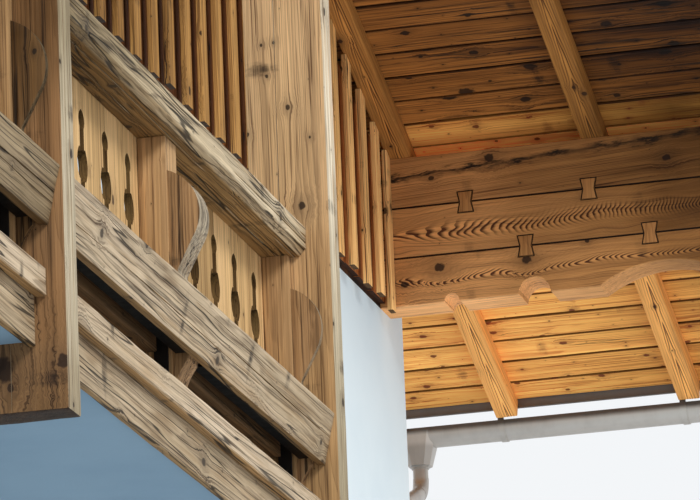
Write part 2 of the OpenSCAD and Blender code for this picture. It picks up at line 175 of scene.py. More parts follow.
def join(x, y, z=0.0):
    return Place(put(tree_of(x, y, z), "CombineXYZ", {0: x, 1: y, 2: z}).outputs[0])


def mix(factor, a, b, **settings):
    """Mixes two colours."""
    inputs = {0: factor, 6: a, 7: b}
    return Value(put(tree_of(factor, a, b), "Mix", inputs, data_type="RGBA", **settings).outputs[2])


def noise_at(place, scale, detail=2.0, roughness=0.5):
    """Noise at a place that is first stretched by scale."""
    inputs = {"Vector": place * scale, "Scale": 1.0, "Detail": detail, "Roughness": roughness}
    return Value(put(place.tree, "TexNoise", inputs).outputs["Fac"])


def scatter(flat, scale):
    """How far a place lies from the nearest of scattered spots, and that spot's random colour."""
    inputs = {"Vector": flat * scale, "Scale": 1.0}
    cells = put(flat.tree, "TexVoronoi", inputs, voronoi_dimensions="2D").outputs
    return flat - Place(cells["Position"]) / scale, Value(cells["Color"])


def object_place(tree):
    return Place(put(tree, "TexCoord").outputs["Object"])


def attribute(tree, name):
    return Value(put(tree, "Attribute", attribute_name=name).outputs["Fac"])


def open_group(name, inputs, outputs):
    """A node group with sockets named by kind, its inputs as values, and its output node's sockets."""
    tree = bpy.data.node_groups.new(name, "ShaderNodeTree")
    for in_out, sockets in (("INPUT", inputs), ("OUTPUT", outputs)):
        for kind, labels in sockets.items():
            for label in labels:
                tree.interface.new_socket(label, in_out=in_out, socket_type="NodeSocket" + kind)
    ready = tree.nodes.new("NodeGroupInput").outputs
    given = {label: (Place if kind == "Vector" else Value)(ready[label])
             for kind, labels in inputs.items() for label in labels}
    return tree, given, tree.nodes.new("NodeGroupOutput").inputs


def linear(red, green, blue):
    """A screen colour of 0..255 as the linear colour that a socket takes."""
    def channel(value):
        value /= 255
        return value / 12.92 if value <= 0.04045 else ((value + 0.055) / 1.055) ** 2.4
    return (channel(red), channel(green), channel(blue), 1.0)


# Shared effects

CRACK_COLOUR = (0.016, 0.010, 0.006, 1.0)
OWN_KNOTS = ("Knot 1", "Knot 2", "Knot 3")


def make_grain_group():
    """Softwood: fibres, year rings round a heart, knots that they flow around, stains and checks.
    Grain is a place in the timber in metres, X along it. Side is 1 on faces that show its depth, 0 on those
    that show its width. Tone brightens or darkens the wood, for its own tone and for painted light and shade.
    End darkens, for end grain, dark joints and painted shade, and below 0 lightens as painted light. Deep
    blackens. Knot 1 to 3 place single knots on the width: where along it, where across it and their radius.
    Seam is where across it a ragged dark crack runs. Swirl winds the rings, in metres, and thins their lines.
    Crowd packs them closer away from the start."""
    tree, given, result = open_group("timber_grain", {
        "Vector": ("Grain",) + OWN_KNOTS, "Color": ("Light", "Dark", "Knot"),
        "Float": ("Side", "Tone", "End", "Deep", "Rings", "Contrast", "Taper", "Heart", "Heart Width",
                  "Fibre", "Knots", "Density", "Smudge", "Checks", "Seam", "Swirl", "Crowd")},
        {"Color": ("Color",), "Float": ("Height", "Roughness")})
    place, side, swirl = given["Grain"], given["Side"], given["Swirl"]
    width_side = 1.0 - side
    x, y, z = place.parts()
    # The face laid flat, with those of the depth set apart from those of the width
    flat = join(x, side * 9.0 + (side * (z - y) + y))

    # Knots, and how they push the fibres aside
    knot_scale = Place(put(tree, "VectorMath", {0: (2.2, 7.0, 1.0), "Scale": given["Density"]},
                           operation="SCALE").outputs[0])
    off, colour = scatter(flat, knot_scale)
    wavy = noise_at(place, (60.0, 60.0, 60.0), 1.0) * 0.8 + 0.6
    distance = wavy * (off * (0.75, 1.0, 0.0)).length()
    chance = Value(put(tree, "SeparateColor", {0: colour}).outputs[0])
    radius = given["Knots"] * (chance ** 3.0 * 0.0155 + 0.0015)
    knot = fall(distance / radius, 0.65, 1.1)
    pull = bell(distance, radius * 2.6)
    push = pull * off.parts()[1]
    for label in OWN_KNOTS:
        own_x, own_y, own_radius = given[label].parts()
        beside = y - own_y
        share = wavy * join((x - own_x) * 0.8, beside).length() / most(own_radius, 0.00001)
        knot = most(knot, width_side * fall(share, 0.65, 1.1))
        own_pull = width_side * bell(share, 2.8)
        pull = most(pull, own_pull)
        push = own_pull * beside + push
    push = swirl * (noise_at(place, (2.4, 7.0, 7.0), 2.0) - 0.5) + push * 0.85
    bent_y = y - push * width_side
    bent_z = z - push * side
    bent = join(x, bent_y, bent_z)

    # Year rings round the heart, and the figure that they make where a face cuts the heart
    run = (noise_at(place, (4.0, 1.0, 1.0), 1.0) - 0.5) * 0.12 + x * (abs(x) * given["Crowd"] + 1.0)
    wound = swirl * (noise_at(place, (1.9, 14.0, 14.0), 1.5) - 0.5)
    swayed = (noise_at(place, (0.7, 3.0, 3.0), 1.0) - 0.5) * 0.022 + bent_y
    from_pith = calc("SQRT", swayed * swayed + bent_z * bent_z)
    jitter = noise_at(place, (5.0, 30.0, 30.0), 2.0)
    counted = (jitter * 0.009 + (from_pith + wound - run * given["Taper"])) * given["Rings"]
    turn = calc("FRACT", counted)
    rise = least(swirl * 40.0, 1.0) * ramp(given["Taper"], -0.1, 0.0) * 0.30 + 0.30
    late = ramp(turn, rise, 0.85) * fall(turn, 0.92, 1.0)
    uneven = Value(put(tree, "TexNoise", {"W": counted * 0.6, "Scale": 1.0, "Detail": 1.0},
                       noise_dimensions="1D").outputs["Fac"])
    ring = late * ramp(uneven, 0.28, 0.60)
    from_axis = side * (bent_z - swayed) + swayed
    heart = bell(from_axis, given["Heart Width"]) * given["Heart"] * width_side
    figure = ring * given["Contrast"] + heart * (late - 0.30)

    # Fibres and drying checks
    fibre = noise_at(bent, (3.0, 330.0, 330.0), 2.0, 0.6)
    streak = noise_at(bent, (0.5, 46.0, 46.0), 4.0, 0.7)
    lines = ramp(streak, 0.30, 0.70, "LINEAR")
    thread = ramp(noise_at(bent, (1.8, 130.0, 130.0), 2.0, 0.6), 0.56, 0.66)
    checks = given["Checks"]
    line = abs(noise_at(bent, (0.45, 18.0, 18.0), 2.0) - 0.5)
    where = ramp(noise_at(place, (1.1, 7.0, 7.0), 1.0), checks * -0.38 + 0.78, checks * -0.38 + 0.86)
    check = fall(line, 0.004, 0.018) * where
    fine = fall(noise_at(bent, (0.9, 170.0, 170.0), 1.0), 0.27, 0.36) * least(checks, 1.0)

    # Colour from light to dark wood, then its tone with painted light and shade, made warmer where darker as
    # painted warm bounce light
    darkness = figure + 0.22
    for part, middle, share in ((fibre, 0.5, 1.3), (lines, 0.47, 1.25), (thread, 0.2, 0.95)):
        darkness = (part - middle) * (given["Fibre"] * share) + darkness
    darkness = most(least(darkness, 1.0), -0.4)
    colour = mix(darkness, given["Light"], given["Dark"], clamp_factor=False)
    blotch = noise_at(place, (1.1, 5.0, 5.0), 4.0, 0.6)
    shade = (given["Tone"] - 0.5) * 0.40 + 1.0 + (blotch - 0.5) * 0.9
    shade = most(shade * (given["End"] * -0.5 + 1.0), 0.04)
    warm = put(tree, "CombineColor", {0: shade, 1: shade ** 1.10, 2: shade ** 1.35})
    colour = mix(1.0, colour, Value(warm.outputs[0]), blend_type="MULTIPLY")

    # Smudges, knots, the dark crack with its stain, and the checks
    aside = scatter(flat, (1.4, 3.4, 1.0))[0]
    feather = noise_at(place, (40.0, 14.0, 14.0), 3.0, 0.7)
    blot = fall(feather * 1.5 + (aside * (26.0, 11.0, 0.0)).length(), 0.75, 1.7) * given["Smudge"]
    ragged = abs((noise_at(place, (7.0, 34.0, 34.0), 4.0, 0.75) - 0.5) * 0.12 + (y - given["Seam"]))
    for amount in (blot * ramp(streak, 0.28, 0.60), most(pull * 0.35, knot * 0.92),
                   width_side * 0.45 * fall(ragged, 0.0, 0.035)):
        colour = mix(amount, colour, given["Knot"])
    torn = width_side * fall(ragged, 0.002, 0.018) * ramp(noise_at(place, (6.0, 12.0, 12.0), 3.0), 0.36, 0.58)
    dark_line = most(most(check * 0.85, fine * 0.55), ramp(given["Deep"], 0.02, 0.45))
    mix(most(dark_line, torn), colour, CRACK_COLOUR).to(result["Color"])

    height = ring * 0.30 + fibre * 0.30 - streak * 0.8 - (check * 1.2 + fine * 0.4)
    height.to(result["Height"])
    (fibre * 0.25 + 0.62).to(result["Roughness"])
    return tree


def make_weather_group():
    """Where weather has bleached the faces that look outwards, in streaks, and where it has stained them."""
    tree, given, result = open_group("weathered_side", {"Vector": ("Grain",), "Float": ("Exposure",)},
                                     {"Float": ("Bleach", "Stain")})
    streak = noise_at(given["Grain"], (0.8, 40.0, 40.0), 3.0, 0.65)
    patch = noise_at(given["Grain"], (1.8, 8.0, 8.0), 3.0, 0.6)
    worn = ramp(streak + patch, 0.66, 1.04)
    (given["Exposure"] * (worn * 0.5 + 0.5)).to(result["Bleach"])
    (given["Exposure"] * (ramp(patch, 0.55, 0.72) * 0.6)).to(result["Stain"])
    return tree


GRAIN = make_grain_group()
WEATHER = make_weather_group()


# Materials

def new_material(name, **shader):
    """A material whose Principled shader has the given plain values."""
    made = bpy.data.materials.new(name)
    made.use_nodes = True
    bsdf = made.node_tree.nodes["Principled BSDF"]
    for key, value in shader.items():
        bsdf.inputs[key.replace("_", " ")].default_value = value
    return made, made.node_tree, bsdf.inputs


def relief(height, strength, distance, inputs):
    """Bumps a surface by a height."""
    bump = put(height.tree, "Bump", {"Height": height, "Strength": strength, "Distance": distance})
    Value(bump.outputs["Normal"]).to(inputs["Normal"])


PLAIN_GRAIN = {
    "rings": 150, "contrast": 0.3, "taper": 0.01, "heart": 0.0, "heart_width": 0.03, "fibre": 0.45,
    "knots": 1.0, "density": 1.0, "smudge": 0.0, "checks": 0.4, "seam": 9.0, "swirl": 0.0, "crowd": 0.0}


def timber(name, light, dark, knot=(62, 42, 28), bleached=None, stain=(96, 80, 66), bump=0.0025, spots=(),
           **look):
    """Wood in its own grain. Where bleached gives two colours, the faces that look outwards take them, unless
    they are sheltered. Spots are single knots. Look is what differs from the plain grain."""
    made, tree, shader = new_material(name, Specular_IOR_Level=0.22)
    grain = Place(put(tree, "Attribute", attribute_name="grain").outputs["Vector"])
    values = {key.replace("_", " ").title(): value for key, value in {**PLAIN_GRAIN, **look}.items()}
    values.update(zip(OWN_KNOTS, spots))
    values.update({key: attribute(tree, key.lower()) for key in ("Side", "Tone", "End", "Deep")})
    values.update({"Grain": grain, "Light": linear(*light), "Dark": linear(*dark), "Knot": linear(*knot)})
    if bleached:
        turned = Value(put(tree, "VectorMath", {
            0: Place(put(tree, "NewGeometry").outputs["Normal"]), 1: (0.0, -1.0, 0.3)},
            operation="DOT_PRODUCT").outputs["Value"])
        exposure = (1.0 - attribute(tree, "shelter")) * ramp(turned, 0.2, 0.9)
        aged = put(tree, "Group", {"Grain": grain, "Exposure": exposure}, node_tree=WEATHER).outputs
        for key, old in zip(("Light", "Dark"), bleached):
            values[key] = mix(Value(aged["Bleach"]), values[key], linear(*old))
    wood = put(tree, "Group", values, node_tree=GRAIN).outputs
    colour = Value(wood["Color"])
    if bleached:
        colour = mix(Value(aged["Stain"]), colour, linear(*stain), blend_type="MULTIPLY")
    colour.to(shader["Base Color"])
    Value(wood["Roughness"]).to(shader["Roughness"])
    relief(Value(wood["Height"]), 0.9, bump, shader)
    return made


def plaster(name, colour, shade):
    """Trowelled plaster with a fine sand grain and faint clouds."""
    made, tree, shader = new_material(name, Roughness=0.9)
    place = object_place(tree)
    cloud = noise_at(place, (0.8, 0.8, 0.8), 4.0, 0.6)
    sand = noise_at(place, (90.0, 90.0, 90.0), 3.0, 0.7)
    trowel = noise_at(place, (5.0, 5.0, 9.0), 3.0, 0.6)
    mix(ramp(cloud, 0.35, 0.7), linear(*colour), linear(*shade)).to(shader["Base Color"])
    relief(sand * 0.25 + trowel, 0.5, 0.004, shader)
    return made


def sheet_metal(name, colour, dirt_and_shade, roughness, metallic, rim=None):
    """Sheet metal with faint rain streaks. Rim is the height of the top edge: the metal is painted darker
    just under it and again lower down, as painted shade that leaves a painted highlight between.
    """
    made, tree, shader = new_material(name, Metallic=metallic)
    place = object_place(tree)
    run = noise_at(place, (14.0, 14.0, 3.0), 4.0, 0.6)
    streaks_and_shade = ramp(run, 0.40, 0.8) * 0.12
    if rim:
        height = place.parts()[2]
        # Painted shade at the top edge and low down, leaving a painted highlight between them
        streaks_and_shade = fall(height, rim - 0.085, rim - 0.05) * 0.35 + (streaks_and_shade + ramp(height, rim - 0.028, rim))
    mix(streaks_and_shade, linear(*colour), linear(*dirt_and_shade)).to(shader["Base Color"])
    (run * 0.25 + roughness).to(shader["Roughness"])
    relief(run, 0.1, 0.001, shader)
    return made


def plain_plastic(name, colour, dusty):
    """Matte black plastic with a little dust."""
    made, tree, shader = new_material(name, Specular_IOR_Level=0.1)
    dust = noise_at(object_place(tree), (30.0, 30.0, 30.0), 4.0, 0.6)
    mix(ramp(dust, 0.5, 0.8), linear(*colour), linear(*dusty)).to(shader["Base Color"])
    (dust * 0.3 + 0.35).to(shader["Roughness"])
    return made


WEATHERED = timber(
    "weathered_timber", (166, 130, 84), (84, 62, 38), knot=(66, 56, 46), rings=95, contrast=0.42, swirl=0.016,
    knots=1.2, smudge=1.0, checks=1.0, bleached=((210, 188, 156), (92, 72, 52)), stain=(196, 180, 160),
    bump=0.004)
# The knots of each big post and its light and dark wood: the centre one's is darker
PALER_POST = ((222, 180, 130), (112, 80, 52))
POST_LOOKS = {
    "post_left": ((), PALER_POST),
    "post_centre": (((5.972, 0.196, 0.036), (5.983, 0.013, 0.022)), ((166, 126, 86), (76, 52, 32))),
    "post_right": (((7.691, 0.133, 0.010), (7.813, 0.205, 0.007), (7.330, 0.096, 0.014)), PALER_POST)}
POST = {node: timber(
    node + "_wood", light, dark, knot=(42, 28, 20), contrast=0.25, fibre=0.62, knots=0.9, density=1.3,
    smudge=0.85, checks=0.3, bleached=((230, 216, 188), (124, 104, 80)), stain=(200, 182, 156), bump=0.003,
    spots=placed) for node, (placed, (light, dark)) in POST_LOOKS.items()}
RAIL = timber(
    "hewn_rail_timber", (166, 132, 84), (76, 56, 32), knot=(60, 50, 40), rings=95, contrast=0.60, swirl=0.024,
    fibre=0.58, knots=1.2, smudge=0.8, checks=1.1, bleached=((216, 196, 162), (74, 58, 42)),
    stain=(186, 170, 150), bump=0.006)
BRACKET = timber("bracket_timber", (196, 156, 112), (86, 62, 42), knot=(36, 28, 22), contrast=0.35, fibre=0.6,
                 smudge=0.8, checks=0.9, bleached=((206, 190, 164), (60, 52, 44)))
SHELTERED = timber("sheltered_timber", (140, 106, 70), (58, 42, 28), knot=(30, 22, 16), fibre=0.6, smudge=0.9,
                   checks=0.7, bump=0.003)
HONEY = timber("railing_timber", (230, 190, 132), (130, 90, 50), rings=130, fibre=0.5, smudge=0.3, bump=0.003)
BATTEN = timber("batten_timber", (236, 180, 108), (82, 50, 26), knot=(40, 24, 14), contrast=0.35, fibre=0.6,
                knots=1.2, density=1.3, smudge=0.6, checks=0.6)
CLAD = timber("cladding_timber", (146, 86, 38), (50, 26, 10), knot=(26, 16, 10), contrast=0.35, fibre=0.6,
              knots=1.1, smudge=0.6, checks=0.6)
BEAM_LOOK = {"light": (188, 132, 76), "dark": (80, 44, 24), "knot": (40, 26, 20), "fibre": 0.40,
             "checks": 0.15, "knots": 0.6, "smudge": 0.35, "bump": 0.002}
BEAM = timber("beam_timber", **BEAM_LOOK)
EAVES_BEAM = {
    "eaves_purlin_lower": timber(
        "lower_beam_timber", rings=75, contrast=0.05, taper=-0.42, heart=1.9, heart_width=0.010, swirl=0.07,
        spots=((-0.232, 0.056, 0.023), (-0.634, 0.044, 0.020), (-0.067, -0.004, 0.018)), **BEAM_LOOK),
    "eaves_purlin_middle": timber(
        "middle_beam_timber", rings=50, contrast=0.0, taper=-0.21, heart=1.6, heart_width=0.024, swirl=0.10,
        crowd=1.7, **BEAM_LOOK),
    "eaves_purlin_upper": timber(
        "upper_beam_timber", seam=0.0,
        spots=((-0.486, 0.031, 0.021), (-1.294, -0.098, 0.017), (-0.21, -0.023, 0.012)), **BEAM_LOOK)}
# One soffit wood in two copies: this bright one as painted light for the eaves boards, the darker one below
# as painted shade for the boards over the wall side
SOFFIT = timber("soffit_timber", (252, 184, 94), (166, 80, 28), knot=(112, 46, 24), rings=110, contrast=0.4,
                knots=1.1, density=2.1, smudge=0.55)
SOFFIT_SHADED = timber("shaded_soffit_timber", (170, 108, 48), (58, 30, 10), knot=(16, 9, 6), rings=110,
                     contrast=0.45, fibre=0.6, checks=0.7, knots=1.9, density=1.5, smudge=0.8)
RAFTER = timber("rafter_timber", (228, 160, 84), (96, 52, 22), knot=(50, 28, 16), rings=85, contrast=0.15,
                taper=0.035, heart=1.0, heart_width=0.020, fibre=0.36, checks=0.15)
DOOR_WOOD = timber("door_timber", (142, 92, 52), (92, 54, 30), rings=140, checks=0.0, knots=0.4)
WALL = plaster("wall_plaster", (224, 238, 245), (214, 230, 239))
# Blue-grey as painted shade: pale plaster in shade under a blue sky, also on the floors
SLAB = plaster("slab_sky_shade_plaster", (131, 157, 176), (118, 145, 166))
GUTTER = sheet_metal("gutter_sheet", (214, 208, 200), (104, 98, 92), 0.28, 0.5, rim=8.518)
DRIP = sheet_metal("drip_sheet", (120, 118, 116), (88, 84, 80), 0.4, 0.3)
ROOFING = sheet_metal("roof_sheet", (70, 62, 56), (88, 80, 74), 0.45, 0.3)
FELT = sheet_metal("roofing_felt", (26, 18, 12), (18, 12, 8), 0.7, 0.0)
STEEL = sheet_metal("dark_steel", (30, 28, 28), (52, 44, 38), 0.4, 0.5)
LINER = plain_plastic("trough_plastic", (5, 5, 6), (14, 14, 15))
GLASS = new_material("door_glass", Base_Color=(0.86, 0.9, 0.9, 1.0), Roughness=0.03, IOR=1.45,
                     Transmission_Weight=1.0)[0]


# Timber work

def between(table, at):
    """The value at a place, in line between the pairs of a table."""
    if at <= table[0][0]:
        return table[0][1]
    for (a, low), (b, high) in zip(table, table[1:]):
        if at <= b:
            return low + (high - low) * (at - a) / (b - a)
    return table[-1][1]


def islands(bm):
    """Lists the vertices of each separate solid in a mesh."""
    left = set(bm.verts)
    found = []
    while left:
        queue = [left.pop()]
        part = list(queue)
        while queue:
            for edge in queue.pop().link_edges:
                for vert in edge.verts:
                    if vert in left:
                        left.remove(vert)
                        queue.append(vert)
                        part.append(vert)
        found.append(part)
    return found


def sawn_ends(along, value=1.0):
    """A rule that darkens the faces across the grain."""
    return lambda normal, place: value if abs(normal.dot(along)) > 0.8 else 0.0


def mark_grain(bm, along, across, seed, tone=(0.0, 1.0), pith=None, dark=None, origin=None, shelter=None):
    """Gives each solid its own stretch of grain, as a place in its log, its tone and its darkened faces.
    Tone is a range, or a function of a vertex's place and its solid's centre that is varied a little.
    Pith places the log's heart from that centre, or from an origin that then also starts the grain.
    Dark gives a face's darkness from its normal and its place. Shelter tells which places the weather doesn't
    reach."""
    bm.normal_update()
    rng = random.Random(seed)
    grain = bm.verts.layers.float_vector.new("grain")
    level = bm.verts.layers.float.new("tone")
    ends = bm.faces.layers.float.new("end")
    sides = bm.faces.layers.float.new("side")
    covered = bm.verts.layers.float.new("shelter")
    through = along.cross(across)
    dark = dark or sawn_ends(along)
    order = {vert: index for index, vert in enumerate(bm.verts)}
    for part in sorted(islands(bm), key=lambda verts: min(order[v] for v in verts)):
        centre = sum((v.co for v in part), Vector()) / len(part)
        shift = Vector((rng.uniform(0, 30), rng.uniform(-0.10, 0.10), rng.uniform(0.02, 0.16)))
        if pith:
            shift.y, shift.z = -pith[0], -pith[1]
        if origin:
            shift.x = 0
        extra = rng.uniform(-0.2, 0.2) if callable(tone) else rng.uniform(*tone)
        for vert in part:
            place = vert.co - (origin or centre)
            vert[grain] = Vector((place.dot(along), place.dot(across), place.dot(through))) + shift
            vert[level] = tone(vert.co, centre) + extra if callable(tone) else extra
            vert[covered] = 1.0 if shelter and shelter(vert.co) else 0.0
    for face in bm.faces:
        face[ends] = dark(face.normal, face.calc_center_median())
        face[sides] = 1.0 if abs(face.normal.dot(across)) > 0.7 else 0.0


def cut(bm, place, direction, dist=1e-5):
    """Cuts a mesh along the plane through a place, square to a direction."""
    bmesh.ops.bisect_plane(bm, geom=bm.verts[:] + bm.edges[:] + bm.faces[:], dist=dist, plane_co=place,
                           plane_no=direction)


def slice_mesh(bm, direction, step):
    """Cuts a mesh across a direction into stretches of about step."""
    spans = [v.co.dot(direction) for v in bm.verts]
    low, high = min(spans), max(spans)
    count = int((high - low) / step)
    for index in range(1, count):
        cut(bm, direction * (low + (high - low) * index / count), direction)


def soften(bm, width):
    """Bevels the sharp edges."""
    sharp = [e for e in bm.edges if len(e.link_faces) == 2 and e.calc_face_angle() > math.radians(25)]
    bmesh.ops.bevel(bm, geom=sharp, offset=width, offset_type="OFFSET", segments=2, profile=0.5,
                    affect="EDGES", material=-1, clamp_overlap=True)


# How far a crack winds off its line, and how far to its sides the wood follows it
CRACK_SWAY = 0.006
CRACK_REACH = 0.03


def crack(bm, along, outward, share, depth, width, seed):
    """Opens a drying crack along the side that faces outward, at a share of the way across it."""
    deep = bm.verts.layers.float["deep"]
    across = outward.cross(along)
    facing = [v for f in bm.faces if f.normal.dot(outward) > 0.9 for v in f.verts]
    spans = [v.co.dot(across) for v in facing]
    at = min(spans) + (max(spans) - min(spans)) * share
    for offset in (-width, 0.0, width):
        cut(bm, across * (at + offset), across, 1e-6)
    bm.normal_update()
    for vert in bm.verts:
        if vert.normal.dot(outward) < 0.8:
            continue
        run = vert.co.dot(along)
        gap = vert.co.dot(across) - at
        if abs(gap) < 1e-4:
            opened = min(1.0, max(0.0, 0.4 + 2.2 * noise.noise(Vector((run * 1.1, seed * 3.7, 0.5)))))
            vert.co -= outward * depth * opened
            vert[deep] = opened
        winding = noise.noise(Vector((run * 1.6, seed * 9.1, 2.5)))
        vert.co += across * CRACK_SWAY * winding * math.exp(-(gap / CRACK_REACH) ** 2)


def hew(bm, along, depth, seed):
    """Makes a sawn surface uneven: long waves along the timber and short dents across it."""
    bm.normal_update()
    base = Vector((seed * 7.3, seed * 3.1, seed * 5.7))
    moves = []
    for vert in bm.verts:
        run = vert.co.dot(along)
        rest = vert.co - along * run
        long_wave = noise.noise(along * run * 1.7 + rest * 6 + base)
        short_dent = noise.noise(along * run * 9 + rest * 42 + base * 2)
        moves.append(vert.normal * depth * (0.75 * long_wave + 0.55 * short_dent))
    for vert, move in zip(bm.verts, moves):
        vert.co += move


def add_object(name, data):
    made = bpy.data.objects.new(name, data)
    bpy.context.scene.collection.objects.link(made)
    return made


def add_mesh(name, bm, material):
    mesh = bpy.data.meshes.new(name)
    bm.to_mesh(mesh)
    bm.free()
    mesh.materials.append(material)
    return add_object(name, mesh)


def finish(name, bm, material, replaced=(), smooth=True):
    """Turns a mesh into a piece of the part: shaded, riding on the body and standing for its nodes."""
    bm.normal_update()
    for face in bm.faces:
        face.smooth = smooth
    for edge in bm.edges:
        edge.smooth = len(edge.link_faces) == 2 and edge.calc_face_angle() < math.radians(32)
    piece = add_mesh(name, bm, material)
    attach(piece, "root")
    if replaced:
        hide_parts(*replaced)


def copy_of(node):
    """A merged copy of a node's mesh, with one face for each flat side."""
    bm = bmesh.new()
    bm.from_mesh(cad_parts[node].data)
    bmesh.ops.remove_doubles(bm, verts=bm.verts, dist=2e-5)
    bmesh.ops.dissolve_limit(bm, angle_limit=math.radians(1), verts=bm.verts, edges=bm.edges)
    for layer in list(bm.loops.layers.uv.values()):
        bm.loops.layers.uv.remove(layer)
    return bm


def dress(node, material, slot, along, across, seed, edge=0.004, hewn=0.0, step=0.1, side_step=0.03,
          cracks=(), **grain):
    """Stands a softened, hewn and cracked copy in for a timber node."""
    bm = copy_of(node)
    bm.verts.layers.float.new("deep")
    soften(bm, edge)
    if hewn:
        slice_mesh(bm, along, step)
        slice_mesh(bm, across, side_step)
        slice_mesh(bm, along.cross(across), side_step)
    for index, opening in enumerate(cracks):
        crack(bm, along, *opening, seed + index * 17)
    if hewn:
        bmesh.ops.triangulate(bm, faces=bm.faces)
        hew(bm, along, hewn, seed)
    mark_grain(bm, along, across, seed, **grain)
    finish(node + "_timber", bm, material, (node,))


def merge(bm, part):
    """Moves a part into a mesh."""
    loose = bpy.data.meshes.new("board")
    part.to_mesh(loose)
    part.free()
    bm.from_mesh(loose)
    bpy.data.meshes.remove(loose)


def add_board(bm, corner, along, across, size, edge, cuts=0, wobble=0.0, rng=None, cap=None):
    """Adds a sawn board to a mesh. Corner is its low corner, size its length, width and thickness.
    Cap gives the height that the far end reaches at each place."""
    part = bmesh.new()
    bmesh.ops.create_cube(part, size=1.0)
    bmesh.ops.scale(part, vec=Vector(size), verts=part.verts)
    bmesh.ops.translate(part, vec=Vector(size) / 2, verts=part.verts)
    if edge:
        long_edges = [e for e in part.edges if abs((e.verts[0].co - e.verts[1].co).x) > size[0] / 2]
        bmesh.ops.bevel(part, geom=long_edges, offset=edge, segments=1, profile=0.5, affect="EDGES",
                        material=-1)
    for index in range(1, cuts + 1):
        cut(part, X * size[0] * index / (cuts + 1), X)
    if wobble:
        phase = rng.uniform(0, 100)
        for vert in part.verts:
            bend = noise.noise(Vector((vert.co.x * 1.4 + phase, 0, 0))) * wobble
            dent = noise.noise(Vector((vert.co.x * 6 + phase, vert.co.y * 30, 3.0))) * wobble * 0.5
            vert.co += Vector((0, bend + dent, 0))
    turn = Matrix((along, across, along.cross(across))).transposed().to_4x4()
    turn.translation = corner
    bmesh.ops.transform(part, matrix=turn, verts=part.verts)
    if cap:
        top = corner.z + size[0]
        for vert in part.verts:
            if abs(vert.co.z - top) < 1e-4:
                vert.co.z = cap(vert.co.x)
    merge(bm, part)


def make_posts():
    """The big posts. Their hearts lie off to a side, so that their sides show straight grain."""
    # Each post's tone, and where it darkens at the heights that the handrail and the boxes shade
    shades = {"post_left": (0.4, ((6.7, 0.0), (7.05, -1.0), (7.8, -0.3))),
              "post_centre": (0.5, ((6.7, 0.0), (7.05, -1.0), (7.8, -0.3))),
              "post_right": (0.5, ((6.3, -1.0), (7.4, 0.0)))}
    cracks = ((-Y, 0.36, 0.012, 0.0022), (-Y, 0.68, 0.010, 0.0018), (-X, 0.62, 0.006, 0.0008))
    for seed, (node, (tone, dimming)) in enumerate(shades.items()):
        low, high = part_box(node)
        foot = low.z

        def level(place, centre):
            return tone + between(dimming, place.z) - 0.7 * math.exp(-((place.z - foot) / 0.25) ** 2)

        dress(node, POST[node], "post_wood", Z, Y, edge=0.006, hewn=0.0025, step=0.07, seed=11 + seed,
              tone=level, pith=(0.0, -0.10), cracks=cracks, dark=sawn_ends(Z, 1.65),
              origin=Vector(((low.x + high.x) / 2, low.y, 0)))


def make_rails():
    """Handrails, flower box boards, the low rails behind them, short posts, brackets and the closed ends."""
    rail_cracks = ((-Y, 0.3, 0.012, 0.0018), (-Y, 0.62, 0.016, 0.0024), (-Z, 0.35, 0.012, 0.0015),
                   (-Z, 0.7, 0.014, 0.002))
    box_cracks = ((-Y, 0.36, 0.014, 0.0016), (-Y, 0.52, 0.016, 0.002), (-Y, 0.8, 0.008, 0.0012))
    box_top = FLOOR_TOP + 0.325

    def by_bracket(place, centre):
        return 0.3 if centre.x > 1.0 else -1.1

    for seed, side in enumerate(("left", "right")):
        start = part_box("handrail_" + side)[0].x

        def brightening(place, centre):
            return 1.8 * min(1.0, (place.x - start) / 2.2) - 1.35

        def fading(place, centre):
            return 0.95 - 0.22 * (place.x - start) if start > -1 else -0.7

        dress("handrail_" + side, RAIL, "weathered_wood", X, Y, edge=0.003, hewn=0.003, step=0.04,
              side_step=0.018, seed=21 + seed, tone=brightening, cracks=rail_cracks)
        dress("flower_box_" + side, WEATHERED, "weathered_wood", X, Z, edge=0.003, hewn=0.002, step=0.05,
              side_step=0.015, seed=51 + seed, tone=fading, cracks=box_cracks)
        dress("lower_rails_" + side, SHELTERED, "weathered_wood", X, Z, hewn=0.002, step=0.08, seed=26 + seed,
              tone=(0.3, 0.6))
        dress("short_posts_" + side, POST["post_left"], "post_wood", Z, Y, hewn=0.0015, seed=31 + seed,
              tone=(-0.2, 0.1), shelter=lambda place: True)
        dress("box_brackets_" + side, BRACKET, "post_wood", Z, Y, edge=0.005, hewn=0.0015, step=0.04,
              seed=41 + seed, tone=by_bracket, shelter=lambda place: place.z < box_top)
        dress("railing_return_" + side, HONEY, "railing_wood", Z, Y, seed=71 + seed)


def make_edge_boards():
    """The boards at the slab's edge: a high one and a narrow one before its top."""
    # How far each board's front and foot lie from those of the pair, its height and its thickness
    boards = ((0.037, 0.0, 0.165, 0.025), (0.0, 0.150, 0.088, 0.037))
    for seed, side in enumerate(("left", "right")):
        node = "edge_boards_" + side
        low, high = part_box(node)
        rng = random.Random(61 + seed)
        bm = bmesh.new()
        for front, foot, height, thick in boards:
            add_board(bm, Vector((low.x, low.y + front + thick, low.z + foot)), X, Z,
                      (high.x - low.x, height, thick), edge=0.004, cuts=60, wobble=0.004, rng=rng)
        slice_mesh(bm, Z, 0.02)
        bmesh.ops.triangulate(bm, faces=bm.faces)
        hew(bm, X, 0.0015, 63 + seed)

        def level(place, centre):
            return 0.9 if centre.z > low.z + 0.120 else 0.15

        mark_grain(bm, X, Z, 65 + seed, level)
        finish("slab_edge_boards_" + side, bm, WEATHERED, (node,))


# The opening sawn at a joint between balustrade boards: a lens in the middle, a slit over and under it
# that ends in a drop, all measured from the middle of the opening
LENS_R = 0.070
LENS_INSET = 0.012
LENS_HALF = 0.052
SLIT_HALF = 0.024
DROP_R = 0.033
DROP_UP = 0.143


